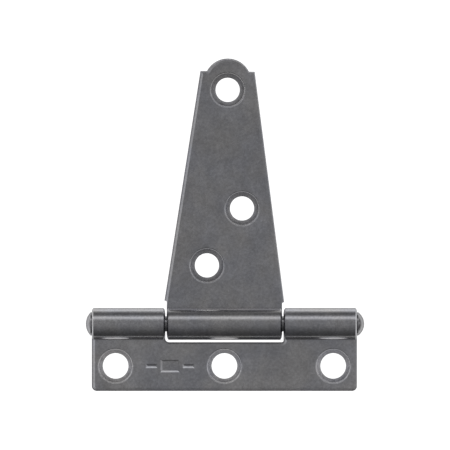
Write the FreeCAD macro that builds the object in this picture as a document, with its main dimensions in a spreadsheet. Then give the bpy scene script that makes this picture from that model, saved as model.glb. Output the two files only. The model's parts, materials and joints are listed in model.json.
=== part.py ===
import FreeCAD, Part
import math
import os

import Sketcher
from FreeCAD import Vector

# A light T hinge: a short wide leaf for the frame, a long tapered strap for the door or
# lid, and a rivet pin through the three knuckles.
#
# Frame: +X along the pin, +Y towards the strap's tip, +Z out of the mounting plane.
# The origin is the middle screw hole of the fixed leaf, on the leaf's back face, so the
# hinge lies open and flat with both backs on Z = 0.
# Every body is drawn about the pin's axis and then placed, so in the sketches below the
# origin is the middle of the pin.

# Driving dimensions in millimetres and degrees: alias, value, what it sets
DIMENSIONS = (
    ("sheet_gauge", 2.3, "thickness of the steel strip of both leaves"),
    ("edge_slope_width", 0.95, "shallow slope that blanking leaves inside the front outline"),
    ("edge_slope_depth", 0.16, "how far that slope falls by the outline"),
    ("edge_roll", 0.45, "radius from that slope into the sheared edge"),
    ("edge_draft_width", 0.3, "how far the sheared edge leans in at the back face"),
    ("edge_draft_depth", 1.45, "how deep into the thickness that lean reaches"),
    ("rim_bevel_width", 0.22, "bevel round the knuckles' ends, along the knuckle"),
    ("rim_bevel_depth", 0.45, "that bevel, into the thickness"),
    ("pin_diameter", 4.4, "shank of the rivet pin"),
    ("pin_play", 0.08, "radial gap between the pin and the eye of a knuckle"),
    ("head_diameter", 6.7, "rivet head"),
    ("left_head_height", 1.65, "formed rivet head, from the knuckle's end to the crown"),
    ("right_head_height", 2.0, "riveted-over head, from the knuckle's end to the crown"),
    ("head_rim", 0.3, "straight rim under the rivet head's dome"),
    ("seam_angle", 28.0, "cut end of the rolled sheet, below the pin's level"),
    ("leaf_width", 76.2, "fixed leaf, along the pin"),
    ("leaf_drop", 19.3, "pin to the long edge of the fixed leaf"),
    ("leaf_corner", 1.45, "radius of the fixed leaf's two outer corners"),
    ("knuckle_length", 21.15, "each knuckle of the fixed leaf"),
    ("knuckle_gap", 0.4, "gap between neighbouring knuckles, at the eye"),
    ("notch_depth", 5.25, "pin to the floor of the notch for the strap's knuckle"),
    ("notch_corner_left", 1.05, "radius of the notch's left corner"),
    ("notch_corner_right", 0.5, "radius of the notch's right corner"),
    ("leaf_hole_diameter", 7.35, "screw holes of the fixed leaf"),
    ("leaf_hole_pitch", 31.25, "screw hole to screw hole on the fixed leaf"),
    ("leaf_hole_drop", 12.1, "pin to the fixed leaf's row of screw holes"),
    ("strap_reach", 76.2, "pin to the strap's tip"),
    ("strap_base_width", 34.43, "strap at its widest, just clear of the knuckle"),
    ("strap_step", 6.4, "pin to the step where the strap widens"),
    ("shoulder_height", 72.5, "pin to the two shoulders below the tip"),
    ("shoulder_width", 15.63, "strap across the shoulders"),
    ("strap_offset", 0.115, "middle of the strap's taper, left of its centre line"),
    ("tip_radius", 6.8, "round tip of the strap"),
    ("strap_fillet", 0.45, "radius of the strap's inner corners"),
    ("strap_hole_diameter", 6.95, "screw holes of the strap"),
    ("tip_hole_height", 67.2, "pin to the screw hole in the tip"),
    ("upper_hole_height", 33.2, "pin to the upper of the two staggered screw holes"),
    ("upper_hole_shift", 4.6, "that hole, to the right of the strap's centre line"),
    ("lower_hole_height", 16.7, "pin to the lower of the two staggered screw holes"),
    ("lower_hole_shift", 5.25, "that hole, to the left of the strap's centre line"),
    ("strap_lean", 0.8, "strap's centre line, off square to the pin, clockwise from the front"),
    ("countersink_diameter", 10.0, "countersinks, at the front face"),
    ("countersink_angle", 82.0, "countersinks, full angle"),
    ("countersink_roll", 0.3, "radius of the countersinks' rims"),
    ("stamp_depth", 0.2, "plain mark pressed into the fixed leaf's front"),
    ("stamp_slope", 67.0, "sides of the mark, off square to the face"),
    ("stamp_height", 3.6, "the mark's block, across the leaf"),
    ("stamp_width", 5.4, "the mark's block, along the leaf"),
    ("stamp_line", 1.2, "width of the bar on each side of the block"),
    ("stamp_bar", 3.4, "length of those bars"),
    ("stamp_bar_gap", 0.9, "block to bar"),
    ("stamp_shift", 15.6, "mark's middle, left of the middle screw hole"),
)

# Sizes that follow from the driving ones, as expressions on the sheet
EYE_RADIUS = "(Sizes.pin_diameter / 2 + Sizes.pin_play)"
BARREL_RADIUS = f"({EYE_RADIUS} + Sizes.sheet_gauge)"
HALF_LEAF = "(Sizes.leaf_width / 2)"
HALF_NOTCH = "(Sizes.leaf_width / 2 - Sizes.knuckle_length)"
HALF_STRAP_KNUCKLE = f"({HALF_NOTCH} - Sizes.knuckle_gap)"
BACK_FACE = f"-{BARREL_RADIUS}"
FRONT_FACE = f"-{EYE_RADIUS}"
TIP_CENTRE = "(Sizes.strap_reach - Sizes.tip_radius)"
TIP_HALF_WIDTH = f"sqrt(Sizes.tip_radius^2 - (Sizes.shoulder_height - {TIP_CENTRE})^2)"
LEAN = "(Sizes.strap_lean * 1 deg)"

HORIZONTAL_AXIS, VERTICAL_AXIS = -1, -2
ORIGIN = (-1, 1)
START, END, CENTRE = 1, 2, 3
TINY = 1e-4
DRIVEN = ("Length", "Radius", "Size", "Size2", "TaperAngle")

doc = FreeCAD.newDocument("t_hinge")
sheet = doc.addObject("Spreadsheet::Sheet", "Sizes")
for row, (alias, value, meaning) in enumerate(DIMENSIONS, start=1):
    sheet.set(f"A{row}", meaning)
    sheet.set(f"B{row}", str(value))
    sheet.setAlias(f"B{row}", alias)
doc.recompute()


def evaluate(expression):
    """The number that an expression on the sheet gives now."""
    result = sheet.evalExpression(expression)
    return float(getattr(result, "Value", result))


# ---------------------------------------------------------------- sketching

def new_sketch(body, name, plane_role, offset="0"):
    """A sketch on one of the body's own origin planes, moved along its normal by offset."""
    sketch = body.newObject("Sketcher::SketchObject", name)
    plane = next(f for f in body.Origin.OriginFeatures if f.Role == plane_role)
    sketch.AttachmentSupport = [(plane, "")]
    sketch.MapMode = "FlatFace"
    sketch.setExpression("AttachmentOffset.Base.z", offset)
    doc.recompute()
    return sketch


def dimension(sketch, name, expression, kind, *where):
    """A named driving constraint whose value follows the sheet."""
    index = sketch.addConstraint(Sketcher.Constraint(kind, *where, evaluate(expression)))
    sketch.renameConstraint(index, name)
    sketch.setExpression(f"Constraints.{name}", expression)


def join(sketch, first, first_end, second, second_end):
    sketch.addConstraint(Sketcher.Constraint("Coincident", first, first_end, second, second_end))


def locate(sketch, name, point, x_expression, y_expression):
    """Hold a point at sheet-driven distances from the sketch's origin."""
    for axis, expression, tag in (("DistanceX", x_expression, "x"), ("DistanceY", y_expression, "y")):
        if expression is None:
            continue
        if abs(evaluate(expression)) < TINY:
            line = VERTICAL_AXIS if tag == "x" else HORIZONTAL_AXIS
            sketch.addConstraint(Sketcher.Constraint("PointOnObject", *point, line))
        else:
            dimension(sketch, f"{name}_{tag}", expression, axis, *ORIGIN, *point)


def polygon(sketch, name, corners):
    """A closed outline of straight lines. Corners are pairs of expressions; a line whose
    ends share one is held level or upright, and that coordinate is dimensioned once."""
    points = [Vector(evaluate(x), evaluate(y), 0) for x, y in corners]
    count = len(points)
    lines = [
        sketch.addGeometry(Part.LineSegment(points[i], points[(i + 1) % count]))
        for i in range(count)
    ]
    for i in range(count):
        join(sketch, lines[i], END, lines[(i + 1) % count], START)
    held_x, held_y = set(), set()
    for i in range(count - 1):
        if corners[i][0] == corners[i + 1][0]:
            sketch.addConstraint(Sketcher.Constraint("Vertical", lines[i]))
            held_x.add(i + 1)
        if corners[i][1] == corners[i + 1][1]:
            sketch.addConstraint(Sketcher.Constraint("Horizontal", lines[i]))
            held_y.add(i + 1)
    for i, (x, y) in enumerate(corners):
        x = None if i in held_x else x
        y = None if i in held_y else y
        locate(sketch, f"{name}_{i}", (lines[i], START), x, y)


def circle(sketch, name, x_expression, y_expression, diameter):
    centre = Vector(evaluate(x_expression), evaluate(y_expression), 0)
    ring = sketch.addGeometry(Part.Circle(centre, Vector(0, 0, 1), evaluate(diameter) / 2))
    locate(sketch, name, (ring, CENTRE), x_expression, y_expression)
    dimension(sketch, f"{name}_diameter", diameter, "Diameter", ring)


def roll_sketch(body, name, side, offset="0"):
    """Section of a knuckle: the sheet leaves the back plane below the pin and goes round it.
    side is +1 when it climbs on the +Y side of the pin, -1 when on the -Y side."""
    sketch = new_sketch(body, name, "YZ_Plane", offset)
    seam = math.radians(180 + evaluate("Sizes.seam_angle"))
    bottom = -math.pi / 2
    start, end = (bottom, seam) if side > 0 else (math.pi - seam, math.pi - bottom)
    arcs = []
    for tag, radius in (("outside", BARREL_RADIUS), ("eye", EYE_RADIUS)):
        round_pin = Part.Circle(Vector(0, 0, 0), Vector(0, 0, 1), evaluate(radius))
        arc = sketch.addGeometry(Part.ArcOfCircle(round_pin, start, end))
        sketch.addConstraint(Sketcher.Constraint("Coincident", arc, CENTRE, *ORIGIN))
        dimension(sketch, f"{tag}_radius", radius, "Radius", arc)
        arcs.append(arc)
    outside, eye = arcs
    sheet_end, seam_end = (START, END) if side > 0 else (END, START)
    ends = []
    for arc_end in (sheet_end, seam_end):
        line = sketch.addGeometry(
            Part.LineSegment(sketch.getPoint(outside, arc_end), sketch.getPoint(eye, arc_end))
        )
        join(sketch, line, START, outside, arc_end)
        join(sketch, line, END, eye, arc_end)
        ends.append(line)
    sheet_line, seam_line = ends
    for end_point in (START, END):
        sketch.addConstraint(
            Sketcher.Constraint("PointOnObject", sheet_line, end_point, VERTICAL_AXIS)
        )
    sketch.addConstraint(Sketcher.Constraint("PointOnObject", *ORIGIN, seam_line))
    dimension(
        sketch, "seam_level", f"-{BARREL_RADIUS} * sin(Sizes.seam_angle * 1 deg)",
        "DistanceY", *ORIGIN, seam_line, START,
    )
    return sketch


# ---------------------------------------------------------------- features

def feature(body, kind, name, **properties):
    """Add a PartDesign feature. Text for a number or length is an expression."""
    made = body.newObject(f"PartDesign::{kind}", name)
    for key, value in properties.items():
        if isinstance(value, str) and key in DRIVEN:
            made.setExpression(key, value)
        else:
            setattr(made, key, value)
    doc.recompute()
    return made


def edges_where(made, wanted):
    """Names of the feature's edges that the test picks."""
    return [f"Edge{i}" for i, edge in enumerate(made.Shape.Edges, start=1) if wanted(edge)]


def upright_at(x_expression, y_expression):
    """A test for the edge along the sheet's thickness at this corner of an outline."""
    x, y = evaluate(x_expression), evaluate(y_expression)

    def wanted(edge):
        return all(
            abs(v.X - x) < TINY and abs(v.Y - y) < TINY for v in edge.Vertexes
        )

    return wanted


def round_corners(body, base, name, radius, corners):
    """Round the upright corners of a plate."""
    tests = [upright_at(x, y) for x, y in corners]
    picked = edges_where(base, lambda edge: any(test(edge) for test in tests))
    return feature(body, "Fillet", name, Base=(base, picked), Radius=radius)


def soften_front_edges(body, base, name, reached=lambda edge: True):
    """Give the front outline the shallow slope and the roll that blanking leaves, apart
    from the line where the plate runs into its knuckle."""
    front = evaluate(FRONT_FACE)
    rim = evaluate(f"{FRONT_FACE} - Sizes.edge_slope_depth")

    def along(level):
        def wanted(edge):
            level_edge = all(abs(v.Z - level) < TINY for v in edge.Vertexes)
            at_knuckle = all(abs(v.Y) < TINY for v in edge.Vertexes)
            return level_edge and not at_knuckle and reached(edge)

        return wanted

    sloped = feature(
        body, "Chamfer", f"{name}_slope", Base=(base, edges_where(base, along(front))),
        ChamferType="Two distances", Size="Sizes.edge_slope_depth", Size2="Sizes.edge_slope_width",
    )
    return feature(
        body, "Fillet", f"{name}_roll", Base=(sloped, edges_where(sloped, along(rim))),
        Radius="Sizes.edge_roll",
    )


def lean_back_edges(body, base, name, half_width):
    """Lean the sheared edge in towards the back face and the outside of each knuckle.
    It starts from the knuckle ends at half_width and runs on round the back outline."""
    barrel = evaluate(BARREL_RADIUS)
    knuckle_end = evaluate(half_width)

    def wanted(edge):
        round_edge = isinstance(edge.Curve, Part.Circle)
        if not round_edge or abs(edge.Curve.Radius - barrel) > TINY:
            return False
        return abs(abs(edge.Curve.Center.x) - knuckle_end) < TINY

    picked = edges_where(base, wanted)
    lean = feature(
        body, "Chamfer", name, Base=(base, picked), ChamferType="Two distances",
        Size="Sizes.edge_draft_width", Size2="Sizes.edge_draft_depth",
    )
    drawn_in = evaluate("Sizes.edge_draft_width")

    def at_rim(edge):
        round_edge = isinstance(edge.Curve, Part.Circle)
        if not round_edge or abs(edge.Curve.Radius - barrel) > TINY:
            return False
        return abs(abs(abs(edge.Curve.Center.x) - knuckle_end) - drawn_in) < TINY

    return feature(
        body, "Chamfer", f"{name}_bevel", Base=(lean, edges_where(lean, at_rim)),
        ChamferType="Two distances", Size="Sizes.rim_bevel_width", Size2="Sizes.rim_bevel_depth",
    )


def screw_holes(body, base, name, diameter, centres):
    """Countersunk screw holes, sunk from the front face, with rolled rims."""
    sketch = new_sketch(body, f"{name}_centres", "XY_Plane", FRONT_FACE)
    for tag, x, y in centres:
        circle(sketch, tag, x, y, diameter)
    doc.recompute()
    hole = body.newObject("PartDesign::Hole", name)
    hole.Profile = sketch
    doc.recompute()
    hole.ThreadType = "None"
    hole.DepthType = "ThroughAll"
    hole.HoleCutType = "Countersink"
    hole.HoleCutCustomValues = True
    hole.setExpression("Diameter", diameter)
    hole.setExpression("HoleCutDiameter", "Sizes.countersink_diameter")
    hole.setExpression("HoleCutCountersinkAngle", "Sizes.countersink_angle")
    doc.recompute()
    if hole.Shape.Volume > base.Shape.Volume - TINY:
        raise RuntimeError(f"{name} cut nothing")

    front = evaluate(FRONT_FACE)
    rim_radius = evaluate("Sizes.countersink_diameter / 2")

    def rim(edge):
        round_edge = isinstance(edge.Curve, Part.Circle)
        if not round_edge or abs(edge.Curve.Radius - rim_radius) > TINY:
            return False
        return abs(edge.Curve.Center.z - front) < TINY

    return feature(
        body, "Fillet", f"{name}_rims", Base=(hole, edges_where(hole, rim)),
        Radius="Sizes.countersink_roll",
    )


def new_body(label):
    """A body drawn about the pin's axis and placed where that axis lies."""
    body = doc.addObject("PartDesign::Body", label)
    body.Label = label
    body.setExpression(".Placement.Base.y", "Sizes.leaf_hole_drop")
    body.setExpression(".Placement.Base.z", BARREL_RADIUS)
    return body


# ---------------------------------------------------------------- fixed leaf

def plain_stamp(body, base):
    """A shallow generic mark between the left and middle holes: a block between two bars,
    each a recess with sloping sides."""
    sketch = new_sketch(body, "stamp_outline", "XY_Plane", FRONT_FACE)
    middle_x, middle_y = "-Sizes.stamp_shift", "-Sizes.leaf_hole_drop"
    block_left, block_right = (f"{middle_x} {sign} Sizes.stamp_width / 2" for sign in "-+")
    block_low, block_high = (f"{middle_y} {sign} Sizes.stamp_height / 2" for sign in "-+")
    polygon(sketch, "block", (
        (block_left, block_low), (block_right, block_low),
        (block_right, block_high), (block_left, block_high),
    ))
    bottom = f"{middle_y} - Sizes.stamp_line / 2"
    top = f"{middle_y} + Sizes.stamp_line / 2"
    for tag, sign in (("left", "-"), ("right", "+")):
        near = f"{middle_x} {sign} (Sizes.stamp_width / 2 + Sizes.stamp_bar_gap)"
        far = f"{near} {sign} Sizes.stamp_bar"
        polygon(sketch, f"bar_{tag}", ((near, bottom), (far, bottom), (far, top), (near, top)))
    doc.recompute()
    stamp = feature(
        body, "Pocket", "stamp", Profile=sketch, Length="Sizes.stamp_depth",
        TaperAngle="-Sizes.stamp_slope",
    )
    if stamp.Shape.Volume > base.Shape.Volume - TINY:
        raise RuntimeError("the stamp cut nothing")
    return stamp


def fixed_leaf():
    body = new_body("fixed_leaf")

    outline = new_sketch(body, "leaf_outline", "XY_Plane", BACK_FACE)
    left, right = f"-{HALF_LEAF}", HALF_LEAF
    notch_left, notch_right = f"-{HALF_NOTCH}", HALF_NOTCH
    long_edge, notch_floor = "-Sizes.leaf_drop", "-Sizes.notch_depth"
    polygon(outline, "corner", (
        (left, long_edge), (right, long_edge),
        (right, "0"), (notch_right, "0"),
        (notch_right, notch_floor), (notch_left, notch_floor),
        (notch_left, "0"), (left, "0"),
    ))
    plate = feature(body, "Pad", "leaf_plate", Profile=outline, Length="Sizes.sheet_gauge")
    plate = round_corners(
        body, plate, "leaf_corners", "Sizes.leaf_corner", ((left, long_edge), (right, long_edge))
    )
    plate = round_corners(
        body, plate, "notch_left_corner", "Sizes.notch_corner_left", ((notch_left, notch_floor),)
    )
    plate = round_corners(
        body, plate, "notch_right_corner", "Sizes.notch_corner_right", ((notch_right, notch_floor),)
    )
    plate = soften_front_edges(body, plate, "leaf_front")

    roll = roll_sketch(body, "outer_roll", 1, HALF_NOTCH)
    knuckle = feature(
        body, "Pad", "right_knuckle", Profile=roll, Length="Sizes.knuckle_length"
    )
    mirror_plane = next(f for f in body.Origin.OriginFeatures if f.Role == "YZ_Plane")
    knuckles = feature(
        body, "Mirrored", "both_knuckles", Originals=[knuckle], MirrorPlane=(mirror_plane, [""])
    )
    body.Tip = knuckles
    sheared = lean_back_edges(body, knuckles, "leaf_sheared_edge", HALF_LEAF)
    sheared = lean_back_edges(body, sheared, "notch_sheared_edge", HALF_NOTCH)
    holes = screw_holes(body, sheared, "leaf_screw_holes", "Sizes.leaf_hole_diameter", (
        ("left_hole", "-Sizes.leaf_hole_pitch", "-Sizes.leaf_hole_drop"),
        ("middle_hole", "0", "-Sizes.leaf_hole_drop"),
        ("right_hole", "Sizes.leaf_hole_pitch", "-Sizes.leaf_hole_drop"),
    ))
    body.Tip = plain_stamp(body, holes)
    return body


# ---------------------------------------------------------------- strap leaf

def leaned(x, y):
    """Where a point of the strap lies once its centre line leans from square to the pin."""
    return (
        f"(({x}) * cos({LEAN}) + ({y}) * sin({LEAN}))",
        f"(({y}) * cos({LEAN}) - ({x}) * sin({LEAN}))",
    )


def knuckle_corner(sign):
    """Where the strap's leaning step meets that side of its knuckle."""
    x = f"{sign}{HALF_STRAP_KNUCKLE}"
    return x, f"((Sizes.strap_step - {x} * sin({LEAN})) / cos({LEAN}))"


def strap_outline(body):
    """The strap's plate: knuckle width at the pin, a step out, a taper, shoulders, a round tip."""
    sketch = new_sketch(body, "strap_outline", "XY_Plane", BACK_FACE)
    sides = {}
    for side, sign in (("left", "-"), ("right", "")):
        corners = (
            (f"{sign}{HALF_STRAP_KNUCKLE}", "0"),
            knuckle_corner(sign),
            leaned(f"{sign}Sizes.strap_base_width / 2 - Sizes.strap_offset", "Sizes.strap_step"),
            leaned(f"{sign}Sizes.shoulder_width / 2 - Sizes.strap_offset", "Sizes.shoulder_height"),
            leaned(f"{sign}{TIP_HALF_WIDTH}", "Sizes.shoulder_height"),
        )
        points = [Vector(evaluate(x), evaluate(y), 0) for x, y in corners]
        lines = [
            sketch.addGeometry(Part.LineSegment(start, end))
            for start, end in zip(points, points[1:])
        ]
        for first, second in zip(lines, lines[1:]):
            join(sketch, first, END, second, START)
        sketch.addConstraint(Sketcher.Constraint("Vertical", lines[0]))
        for i, (x, y) in enumerate(corners[:-1]):
            held_x = x if i != 1 else None
            locate(sketch, f"{side}_corner_{i}", (lines[i], START), held_x, y)
        locate(sketch, f"{side}_tip_end", (lines[-1], END), None, corners[-1][1])
        sides[side] = lines

    left, right = sides["left"], sides["right"]
    base = sketch.addGeometry(Part.LineSegment(
        sketch.getPoint(left[0], START), sketch.getPoint(right[0], START)
    ))
    join(sketch, base, START, left[0], START)
    join(sketch, base, END, right[0], START)

    tip_x, tip_y = leaned("0", TIP_CENTRE)
    centre = Vector(evaluate(tip_x), evaluate(tip_y), 0)
    start_turn, end_turn = (
        math.atan2(end.y - centre.y, end.x - centre.x)
        for end in (sketch.getPoint(right[-1], END), sketch.getPoint(left[-1], END))
    )
    tip_circle = Part.Circle(centre, Vector(0, 0, 1), evaluate("Sizes.tip_radius"))
    tip = sketch.addGeometry(Part.ArcOfCircle(tip_circle, start_turn, end_turn))
    join(sketch, tip, START, right[-1], END)
    join(sketch, tip, END, left[-1], END)
    dimension(sketch, "tip_round", "Sizes.tip_radius", "Radius", tip)
    locate(sketch, "tip_centre", (tip, CENTRE), tip_x, tip_y)
    return sketch


def strap_leaf():
    body = new_body("strap_leaf")
    roll = roll_sketch(body, "middle_roll", -1)
    knuckle = feature(
        body, "Pad", "middle_knuckle", Profile=roll, SideType="Symmetric",
        Length=f"2 * {HALF_STRAP_KNUCKLE}",
    )
    lean_back_edges(body, knuckle, "knuckle_sheared_edges", HALF_STRAP_KNUCKLE)

    outline = strap_outline(body)
    plate = feature(body, "Pad", "strap_plate", Profile=outline, Length="Sizes.sheet_gauge")
    plate = round_corners(body, plate, "inner_corners", "Sizes.strap_fillet", (
        leaned(f"-{TIP_HALF_WIDTH}", "Sizes.shoulder_height"),
        leaned(TIP_HALF_WIDTH, "Sizes.shoulder_height"),
        knuckle_corner("-"), knuckle_corner(""),
    ))
    above_step = evaluate("Sizes.shoulder_height / 2")
    plate = soften_front_edges(
        body, plate, "strap_front", lambda edge: edge.BoundBox.YMax > above_step
    )
    body.Tip = screw_holes(body, plate, "strap_screw_holes", "Sizes.strap_hole_diameter", (
        ("tip_hole", *leaned("0", "Sizes.tip_hole_height")),
        ("upper_hole", *leaned("Sizes.upper_hole_shift", "Sizes.upper_hole_height")),
        ("lower_hole", *leaned("-Sizes.lower_hole_shift", "Sizes.lower_hole_height")),
    ))
    return body


# ---------------------------------------------------------------- hinge pin

def hinge_pin():
    """A rivet pin: a plain shank with a domed head drawn tight on each end."""
    body = new_body("hinge_pin")
    sketch = new_sketch(body, "pin_section", "XY_Plane")
    shank, head = "Sizes.pin_diameter / 2", "Sizes.head_diameter / 2"
    rim_end = f"{HALF_LEAF} + Sizes.head_rim"
    profile = ((HALF_LEAF, shank), (HALF_LEAF, head), (rim_end, head))
    head_radius = evaluate(head)

    crowns = {}
    for side, sign in (("left", -1), ("right", 1)):
        crown = f"{HALF_LEAF} + Sizes.{side}_head_height"
        dome_rise = evaluate(f"Sizes.{side}_head_height - Sizes.head_rim")
        dome_radius = (head_radius ** 2 + dome_rise ** 2) / (2 * dome_rise)
        dome_turn = math.asin(head_radius / dome_radius)
        points = [Vector(sign * evaluate(x), evaluate(y), 0) for x, y in profile]
        steps = [
            sketch.addGeometry(Part.LineSegment(points[i], points[i + 1])) for i in range(2)
        ]
        join(sketch, steps[0], END, steps[1], START)
        sketch.addConstraint(Sketcher.Constraint("Vertical", steps[0]))
        sketch.addConstraint(Sketcher.Constraint("Horizontal", steps[1]))
        sign_text = "-" if sign < 0 else ""
        locate(sketch, f"{side}_shank", (steps[0], START), f"{sign_text}{HALF_LEAF}", shank)
        locate(sketch, f"{side}_rim", (steps[1], END), f"{sign_text}({rim_end})", head)
        centre = Vector(sign * (evaluate(crown) - dome_radius), 0, 0)
        dome_circle = Part.Circle(centre, Vector(0, 0, 1), dome_radius)
        if sign > 0:
            dome = sketch.addGeometry(Part.ArcOfCircle(dome_circle, 0, dome_turn))
            rim_point, crown_point = END, START
        else:
            dome = sketch.addGeometry(
                Part.ArcOfCircle(dome_circle, math.pi - dome_turn, math.pi)
            )
            rim_point, crown_point = START, END
        join(sketch, dome, rim_point, steps[1], END)
        sketch.addConstraint(Sketcher.Constraint("PointOnObject", dome, CENTRE, HORIZONTAL_AXIS))
        locate(sketch, f"{side}_crown", (dome, crown_point), f"{sign_text}({crown})", "0")
        crowns[side] = (dome, crown_point, steps[0])

    top = sketch.addGeometry(Part.LineSegment(
        sketch.getPoint(crowns["left"][2], START), sketch.getPoint(crowns["right"][2], START)
    ))
    join(sketch, top, START, crowns["left"][2], START)
    join(sketch, top, END, crowns["right"][2], START)
    axis_line = sketch.addGeometry(Part.LineSegment(
        sketch.getPoint(*crowns["left"][:2]), sketch.getPoint(*crowns["right"][:2])
    ))
    join(sketch, axis_line, START, *crowns["left"][:2])
    join(sketch, axis_line, END, *crowns["right"][:2])
    doc.recompute()
    pin = feature(
        body, "Revolution", "pin_turned", Profile=sketch, ReferenceAxis=(sketch, ["H_Axis"]),
        Angle=360.0,
    )
    body.Tip = pin
    return body


# ---------------------------------------------------------------- build and write

bodies = [fixed_leaf(), strap_leaf(), hinge_pin()]
doc.recompute()

for made in doc.Objects:
    if "Invalid" in made.State or "Error" in made.State:
        raise RuntimeError(f"{made.Label} failed: {made.State}")
for body in bodies:
    if body.Shape.isNull() or not body.Shape.isValid() or len(body.Shape.Solids) != 1:
        raise RuntimeError(f"{body.Label} is not one valid solid")

os.makedirs("parts", exist_ok=True)
for body in bodies:
    body.Shape.exportStep(f"parts/{body.Label}.step")
    box = body.Shape.optimalBoundingBox()
    print(
        f"{body.Label}: {body.Shape.Volume:.1f} mm3,"
        f" x {box.XMin:.2f} to {box.XMax:.2f},"
        f" y {box.YMin:.2f} to {box.YMax:.2f},"
        f" z {box.ZMin:.2f} to {box.ZMax:.2f}"
    )
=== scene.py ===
import json

import bpy
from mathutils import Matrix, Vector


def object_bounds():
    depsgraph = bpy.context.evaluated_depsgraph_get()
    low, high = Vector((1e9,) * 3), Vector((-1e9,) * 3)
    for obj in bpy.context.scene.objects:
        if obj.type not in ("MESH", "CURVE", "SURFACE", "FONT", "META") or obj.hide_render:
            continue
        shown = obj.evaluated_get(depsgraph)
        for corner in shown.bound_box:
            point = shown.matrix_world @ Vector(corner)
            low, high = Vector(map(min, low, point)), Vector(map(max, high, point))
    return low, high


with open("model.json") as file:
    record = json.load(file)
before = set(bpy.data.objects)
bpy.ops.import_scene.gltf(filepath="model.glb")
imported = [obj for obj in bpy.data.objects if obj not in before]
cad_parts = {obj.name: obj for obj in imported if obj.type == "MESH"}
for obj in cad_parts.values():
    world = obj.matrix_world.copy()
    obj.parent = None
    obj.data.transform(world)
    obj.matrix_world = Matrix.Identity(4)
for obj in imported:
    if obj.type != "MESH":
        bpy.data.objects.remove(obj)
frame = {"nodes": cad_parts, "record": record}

MM = 0.001
WHITE = (1.0, 1.0, 1.0, 1.0)

cad_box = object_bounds()
scene = bpy.context.scene
record = frame["record"]
mounts = {mount["name"]: mount for mount in record["mounts"]}


# ---------------------------------------------------------------- shader helpers

class Graph:
    """The nodes of one material or world, cleared first, then added from left to right."""

    def __init__(self, owner):
        owner.use_nodes = True
        self.nodes = owner.node_tree.nodes
        self.links = owner.node_tree.links
        self.nodes.clear()

    def add(self, kind, inputs=None, **settings):
        node = self.nodes.new(kind)
        node.location = (len(self.nodes) * 180, 0)
        for key, value in settings.items():
            setattr(node, key, value)
        for key, value in (inputs or {}).items():
            self.plug(value, node.inputs[key])
        return node

    def plug(self, value, socket):
        if isinstance(value, bpy.types.NodeSocket):
            self.links.new(value, socket)
        else:
            socket.default_value = value

    def math(self, operation, *values):
        node = self.add("ShaderNodeMath", dict(enumerate(values)), operation=operation)
        return node.outputs[0]

    def combine(self, operation, values):
        """All the values together, by one operation such as ADD."""
        result, *others = values
        for other in others:
            result = self.math(operation, result, other)
        return result

    def vector_math(self, operation, first, second):
        return self.add("ShaderNodeVectorMath", {0: first, 1: second}, operation=operation)

    def noise(self, vector, scale, detail, roughness):
        node = self.add(
            "ShaderNodeTexNoise",
            {"Vector": vector, "Scale": scale, "Detail": detail, "Roughness": roughness},
        )
        return node.outputs["Fac"]

    def remap(self, value, low, high, to_low, to_high, interpolation="LINEAR"):
        node = self.add(
            "ShaderNodeMapRange",
            {"Value": value, "From Min": low, "From Max": high, "To Min": to_low, "To Max": to_high},
            interpolation_type=interpolation,
        )
        return node.outputs[0]

    def bell(self, value, middle, width):
        """1 at the middle, falling off smoothly over the width."""
        off = self.math("DIVIDE", self.math("SUBTRACT", value, middle), width)
        return self.math("EXPONENT", self.combine("MULTIPLY", [off, off, -1.0]))

    def gray(self, level):
        node = self.add("ShaderNodeCombineColor", {"Red": level, "Green": level, "Blue": level})
        return node.outputs[0]

    def mix_color(self, factor, first, second, blend="MIX"):
        node = self.add("ShaderNodeMix", data_type="RGBA", blend_type=blend)
        self.plug(factor, node.inputs["Factor"])
        self.plug(first, node.inputs["A"])
        self.plug(second, node.inputs["B"])
        return node.outputs["Result"]

    def bump(self, height, distance, strength, normal=None):
        """The surface's normal with a height laid over it, and over an earlier normal."""
        node = self.add(
            "ShaderNodeBump", {"Height": height, "Distance": distance, "Strength": strength}
        )
        if normal is not None:
            self.plug(normal, node.inputs["Normal"])
        return node.outputs[0]

    def object_place(self):
        return self.add("ShaderNodeTexCoord").outputs["Object"]

    def is_camera_ray(self):
        return self.add("ShaderNodeLightPath").outputs["Is Camera Ray"]


# ---------------------------------------------------------------- zinc plated steel

# Noise layers, each as its scale (one over the size of its features in metres), detail
# and roughness. The lines are noise squeezed by two scales of their own, along the way that
# the sheet was rolled and across it.
CLOUDS = (34.0, 2.0, 0.5)
PATCHES = (75.0, 3.0, 0.6)
BLOTCHES = (320.0, 3.0, 0.6)
CRYSTALS = (1500.0, 3.0, 0.65)
LINES = (1.0, 3.0, 0.6)
ALONG_ROLLING = 60.0
ACROSS_ROLLING = 2500.0

# Passivation tints, which the piece's own tone multiplies, and the noise values between
# which one turns into the other
COOL = (0.955, 0.96, 1.02)
WARM = (1.02, 1.0, 1.0)
TINT_RANGE = (0.38, 0.62)

# How layers shade the metal: between two noise values, from one factor to another
CLOUD_SHADE = (0.35, 0.65, 0.94, 1.05)
BLOTCH_SHADE = (0.3, 0.7, 0.93, 1.06)
GRAIN_SHADE = (0.3, 0.7, 0.86, 1.14)

# The same for what they add to the roughness, and for how blotches spare the edge polishing and its
# painted highlight
ROUGHNESS = 0.2
BLOTCH_ROUGHNESS = (0.3, 0.7, -0.03, 0.04)
GRAIN_ROUGHNESS = (0.3, 0.7, -0.02, 0.02)
POLISH_ROUGHNESS = (0.0, 1.0, 0.0, -0.04)
BLOTCH_POLISH_AND_HIGHLIGHT = (0.35, 0.6, 0.5, 1.0)

# Bumps, each as its height and strength
GRAIN_BUMP = (0.003 * MM, 0.5)
LINE_BUMP = (0.006 * MM, 0.5)
BLOTCH_BUMP = (0.02 * MM, 0.7)
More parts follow.
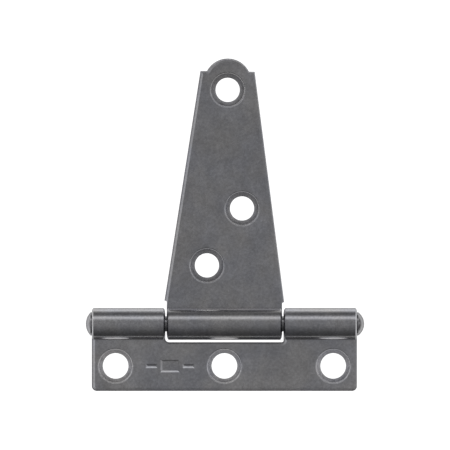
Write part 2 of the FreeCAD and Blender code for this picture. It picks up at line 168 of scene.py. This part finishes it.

# Handling polishes an edge, and a painted highlight lightens it, over this radius. The other two are
# how far the averaged normal leans from the surface's own, as a cosine, where the polishing and
# painted highlight start and where they are full.
WEAR_AND_HIGHLIGHT_RADIUS = 0.45 * MM
WEAR_AND_HIGHLIGHT_START = 0.999
WEAR_AND_HIGHLIGHT_FULL = 0.93

# The painted light in the countersinks fades out between these two distances from the hole's axis.
CONE_INNER = 4.6 * MM
CONE_OUTER = 5.1 * MM

# How the face sinks round a screw hole, in two steps: the drawn-in lip of the countersink
# and the wide shallow dish outside it. Each is (inner radius, outer radius, depth).
DISHES = ((4.72 * MM, 5.25 * MM, 0.068 * MM), (4.6 * MM, 9.0 * MM, 0.1 * MM))

# The back face has no countersinks, so below BACK_HEIGHT the holes count as FAR_AWAY, and
# above FRONT_HEIGHT they don't.
BACK_HEIGHT = 0.1 * MM
FRONT_HEIGHT = 0.4 * MM
FAR_AWAY = 20.0 * MM


def leaf_holes():
    """Middles of the fixed leaf's screw holes: one in the middle and one on each side."""
    x, y, z = mounts["leaf_middle_screw_hole"]["pos_m"]
    spacing = mounts["leaf_outer_screw_holes"]["dims"]["spacing_x_mm"] * MM
    return [(x + side * spacing / 2, y, z) for side in (0, -1, 1)]


def strap_holes():
    """Middles of the strap's screw holes."""
    return [mounts[f"strap_{place}_screw_hole"]["pos_m"] for place in ("tip", "upper", "lower")]


def hole_distance(graph, place, holes):
    """Distance from the axis of the nearest screw hole, and far away on the back face."""
    flat = graph.vector_math("MULTIPLY", place, (1.0, 1.0, 0.0)).outputs[0]
    nearest = graph.combine("MINIMUM", [
        graph.vector_math("DISTANCE", flat, (x, y, 0.0)).outputs["Value"] for x, y, z in holes
    ])
    height = graph.add("ShaderNodeSeparateXYZ", {"Vector": place}).outputs["Z"]
    back = graph.remap(height, BACK_HEIGHT, FRONT_HEIGHT, FAR_AWAY, 0.0)
    return graph.math("ADD", nearest, back)


def edge_wear_and_highlight(graph):
    """1 along convex and concave edges, 0 on open faces: how far the normal averaged over
    a small radius turns from the surface's own. It marks where edges get polish and a painted
    highlight."""
    averaged = graph.add("ShaderNodeBevel", {"Radius": WEAR_AND_HIGHLIGHT_RADIUS}, samples=6).outputs[0]
    own = graph.add("ShaderNodeNewGeometry").outputs["Normal"]
    turn = graph.vector_math("DOT_PRODUCT", averaged, own).outputs["Value"]
    return graph.remap(turn, WEAR_AND_HIGHLIGHT_START, WEAR_AND_HIGHLIGHT_FULL, 0.0, 1.0)


def rolling_lines(graph, place, rolled_along):
    """Fine lines along one axis, X, Y or Z."""
    scale = [ACROSS_ROLLING] * 3
    scale["XYZ".index(rolled_along)] = ALONG_ROLLING
    squeezed = graph.add("ShaderNodeMapping", {"Vector": place, "Scale": scale}).outputs["Vector"]
    return graph.noise(squeezed, *LINES)


def toned(tint, tone):
    """The tint at a tone, as an opaque colour."""
    return (*(part * tone for part in tint), 1.0)


def zinc_steel(name, tone, rolled_along, wear_and_highlight, holes=(), countersink_painted_light=1.0):
    """Zinc plated sheet steel: a cool grey satin metal with cloudy passivation tints,
    faint rolling lines, a fine crystal grain and small handling marks. Handling polishes
    the edges, and a painted highlight lightens them, by wear_and_highlight. Painted light
    makes the countersinks lighter or darker, by countersink_painted_light."""
    material = bpy.data.materials.new(name)
    graph = Graph(material)
    place = graph.object_place()
    cloud, patch, blotch, grain = (
        graph.noise(place, *layer) for layer in (CLOUDS, PATCHES, BLOTCHES, CRYSTALS)
    )
    lines = rolling_lines(graph, place, rolled_along)
    polish_and_highlight = graph.math("MULTIPLY", edge_wear_and_highlight(graph), graph.remap(blotch, *BLOTCH_POLISH_AND_HIGHLIGHT))
    distance = hole_distance(graph, place, holes) if holes else None

    shades = [
        graph.remap(cloud, *CLOUD_SHADE),
        graph.remap(blotch, *BLOTCH_SHADE),
        graph.remap(grain, *GRAIN_SHADE),
        # Edges lighter: partly polish from handling, partly a painted highlight.
        graph.remap(polish_and_highlight, 0.0, 1.0, 1.0, 1.0 + wear_and_highlight),
    ]
    if holes:
        # Painted light: the countersinks lighter or darker than the face, standing in for their
        # reflections.
        shades.append(graph.remap(distance, CONE_INNER, CONE_OUTER, countersink_painted_light, 1.0))
    shade = graph.gray(graph.combine("MULTIPLY", shades))
    tint = graph.mix_color(
        graph.remap(patch, *TINT_RANGE, 0.0, 1.0), toned(COOL, tone), toned(WARM, tone),
    )
    color = graph.mix_color(1.0, tint, shade, "MULTIPLY")

    roughness = graph.combine("ADD", [
        ROUGHNESS,
        graph.remap(blotch, *BLOTCH_ROUGHNESS),
        graph.remap(grain, *GRAIN_ROUGHNESS),
        graph.remap(polish_and_highlight, *POLISH_ROUGHNESS),
    ])

    normal = graph.bump(grain, *GRAIN_BUMP)
    normal = graph.bump(lines, *LINE_BUMP, normal)
    normal = graph.bump(blotch, *BLOTCH_BUMP, normal)
    if holes:
        for inner, outer, depth in DISHES:
            dish = graph.remap(distance, inner, outer, -1.0, 0.0, "SMOOTHSTEP")
            normal = graph.bump(dish, depth, 1.0, normal)

    shader = graph.add(
        "ShaderNodeBsdfPrincipled",
        {"Base Color": color, "Metallic": 1.0, "Roughness": roughness, "Normal": normal},
    )
    graph.add("ShaderNodeOutputMaterial", {"Surface": shader.outputs[0]})
    return material


def dress(node, material):
    """Give a CAD node its finished material in every slot."""
    mesh = frame["nodes"][node].data
    if not mesh.materials:
        mesh.materials.append(material)
    for i in range(len(mesh.materials)):
        mesh.materials[i] = material


# ---------------------------------------------------------------- table and light

TABLE_HALF_WIDTH = 3.0
TABLE_CLEARANCE = 5.0 * MM

# Glow of the table to the camera
TABLE_GLOW = 0.85

# The table's glow in the metal, from straight down (0) to grazing (1): a level that falls
# evenly, and a pool of light at a slant
STRAIGHT_DOWN = 0.44
GRAZING = 0.14
POOL_MIDDLE = 0.53
POOL_WIDTH = 0.29
POOL_LEVEL = 0.7

# Towards the front of the table, the glow in the metal fades to FRONT_LEVEL.
FADE_START = -0.06
FADE_END = -0.6
FRONT_LEVEL = 0.25

# Soft studio lights round the hinge. Each has its direction, as degrees from overhead towards
# the back and towards the right, how wide it is each way in degrees, and its level. FILL is
# a level from everywhere.
VERY_LONG = 1000.0
LIGHTS = {
    "overhead panel": (15.0, 0.0, 60.0, VERY_LONG, 0.21),
    "long softbox at the back": (46.5, 0.0, 12.0, VERY_LONG, 0.7),
    "wall behind": (100.0, 0.0, 15.0, VERY_LONG, 0.15),
    "narrow strip on the left": (-5.0, -20.0, 40.0, 9.5, 0.46),
    "wide panel on the right": (-5.0, 60.0, 40.0, 32.0, 0.27),
}
FILL = 0.05
LIGHT_TINT = (0.995, 1.0, 1.02, 1.0)


def light_table():
    """A pale matt table. The camera sees it evenly lit from within. In the metal it glows
    most at a slant, and fades towards grazing and towards the front."""
    material = bpy.data.materials.new("light_table")
    graph = Graph(material)
    seen = graph.add(
        "ShaderNodeBsdfPrincipled",
        {
            "Base Color": (0.9, 0.9, 0.9, 1.0), "Roughness": 0.9,
            "Emission Color": WHITE, "Emission Strength": TABLE_GLOW,
        },
    )
    slant = graph.add("ShaderNodeLayerWeight", {"Blend": 0.5}).outputs["Facing"]
    even = graph.remap(slant, 0.0, 1.0, STRAIGHT_DOWN, GRAZING)
    pool = graph.math("MULTIPLY", graph.bell(slant, POOL_MIDDLE, POOL_WIDTH), POOL_LEVEL)
    level = graph.math("ADD", even, pool)
    y = graph.add("ShaderNodeSeparateXYZ", {"Vector": graph.object_place()}).outputs["Y"]
    front = graph.remap(y, FADE_END, FADE_START, FRONT_LEVEL, 1.0)
    mirrored = graph.add("ShaderNodeEmission", {"Strength": graph.math("MULTIPLY", level, front)})
    both = graph.add(
        "ShaderNodeMixShader",
        {0: graph.is_camera_ray(), 1: mirrored.outputs[0], 2: seen.outputs[0]},
    )
    graph.add("ShaderNodeOutputMaterial", {"Surface": both.outputs[0]})
    return material


def studio_world():
    """The light that the metal mirrors, and a white backdrop for the camera."""
    world = bpy.data.worlds.new("studio")
    scene.world = world
    graph = Graph(world)
    direction = graph.add("ShaderNodeTexCoord").outputs["Generated"]
    x, y, z = graph.add("ShaderNodeSeparateXYZ", {"Vector": direction}).outputs
    to_back = graph.math("DEGREES", graph.math("ARCTAN2", y, z))
    to_right = graph.math("DEGREES", graph.math("ARCTAN2", x, z))
    levels = [FILL]
    for back, right, back_width, right_width, strength in LIGHTS.values():
        across_back = graph.bell(to_back, back, back_width)
        across_right = graph.bell(to_right, right, right_width)
        levels.append(graph.combine("MULTIPLY", [across_back, across_right, strength]))
    level = graph.combine("ADD", levels)
    lit = graph.mix_color(1.0, graph.gray(level), LIGHT_TINT, "MULTIPLY")
    color = graph.mix_color(graph.is_camera_ray(), lit, WHITE)
    background = graph.add("ShaderNodeBackground", {"Color": color, "Strength": 1.0})
    graph.add("ShaderNodeOutputWorld", {"Surface": background.outputs[0]})


def floor():
    """A pale table, low enough for the strap to swing down past the mounting plane."""
    half = TABLE_HALF_WIDTH
    pin = record["behaviour"]["joints"][0]["pos_m"]
    strap_reach = cad_box[1][1] - pin[1]
    mesh = bpy.data.meshes.new("floor")
    corners = [(-half, -half, 0), (half, -half, 0), (half, half, 0), (-half, half, 0)]
    mesh.from_pydata(corners, [], [(0, 1, 2, 3)])
    mesh.materials.append(light_table())
    table = bpy.data.objects.new("floor", mesh)
    table.location.z = pin[2] - strap_reach - TABLE_CLEARANCE
    scene.collection.objects.link(table)


# ---------------------------------------------------------------- camera

CAMERA_HEIGHT = 2.4
VIEW_WIDTH = 129.3 * MM
VIEW_MIDDLE = (0.17 * MM, 40.47 * MM)


def camera():
    """Straight above the hinge, through a long lens, strap tip up."""
    lens = bpy.data.cameras.new("camera")
    lens.sensor_fit = "HORIZONTAL"
    lens.lens = lens.sensor_width * CAMERA_HEIGHT / VIEW_WIDTH
    lens.clip_start, lens.clip_end = 0.01, 50.0
    eye = bpy.data.objects.new("camera", lens)
    eye.location = (*VIEW_MIDDLE, CAMERA_HEIGHT)
    scene.collection.objects.link(eye)
    scene.camera = eye


# ---------------------------------------------------------------- make everything

# The countersinks get painted light: lighter on the leaf, darker on the strap.
# The edges get polish and a painted highlight, most on the leaf.
dress("fixed_leaf", zinc_steel(
    "leaf_zinc", tone=0.51, rolled_along="X", wear_and_highlight=0.35, holes=leaf_holes(), countersink_painted_light=1.3,
))
dress("strap_leaf", zinc_steel(
    "strap_zinc", tone=0.485, rolled_along="Y", wear_and_highlight=0.2, holes=strap_holes(), countersink_painted_light=0.95,
))
dress("hinge_pin", zinc_steel("pin_zinc", tone=0.38, rolled_along="X", wear_and_highlight=0.15))
studio_world()
floor()
camera()
scene.view_settings.view_transform = "Standard"
scene.view_settings.look = "None"
scene.view_settings.exposure = 0.0
scene.view_settings.gamma = 1.0
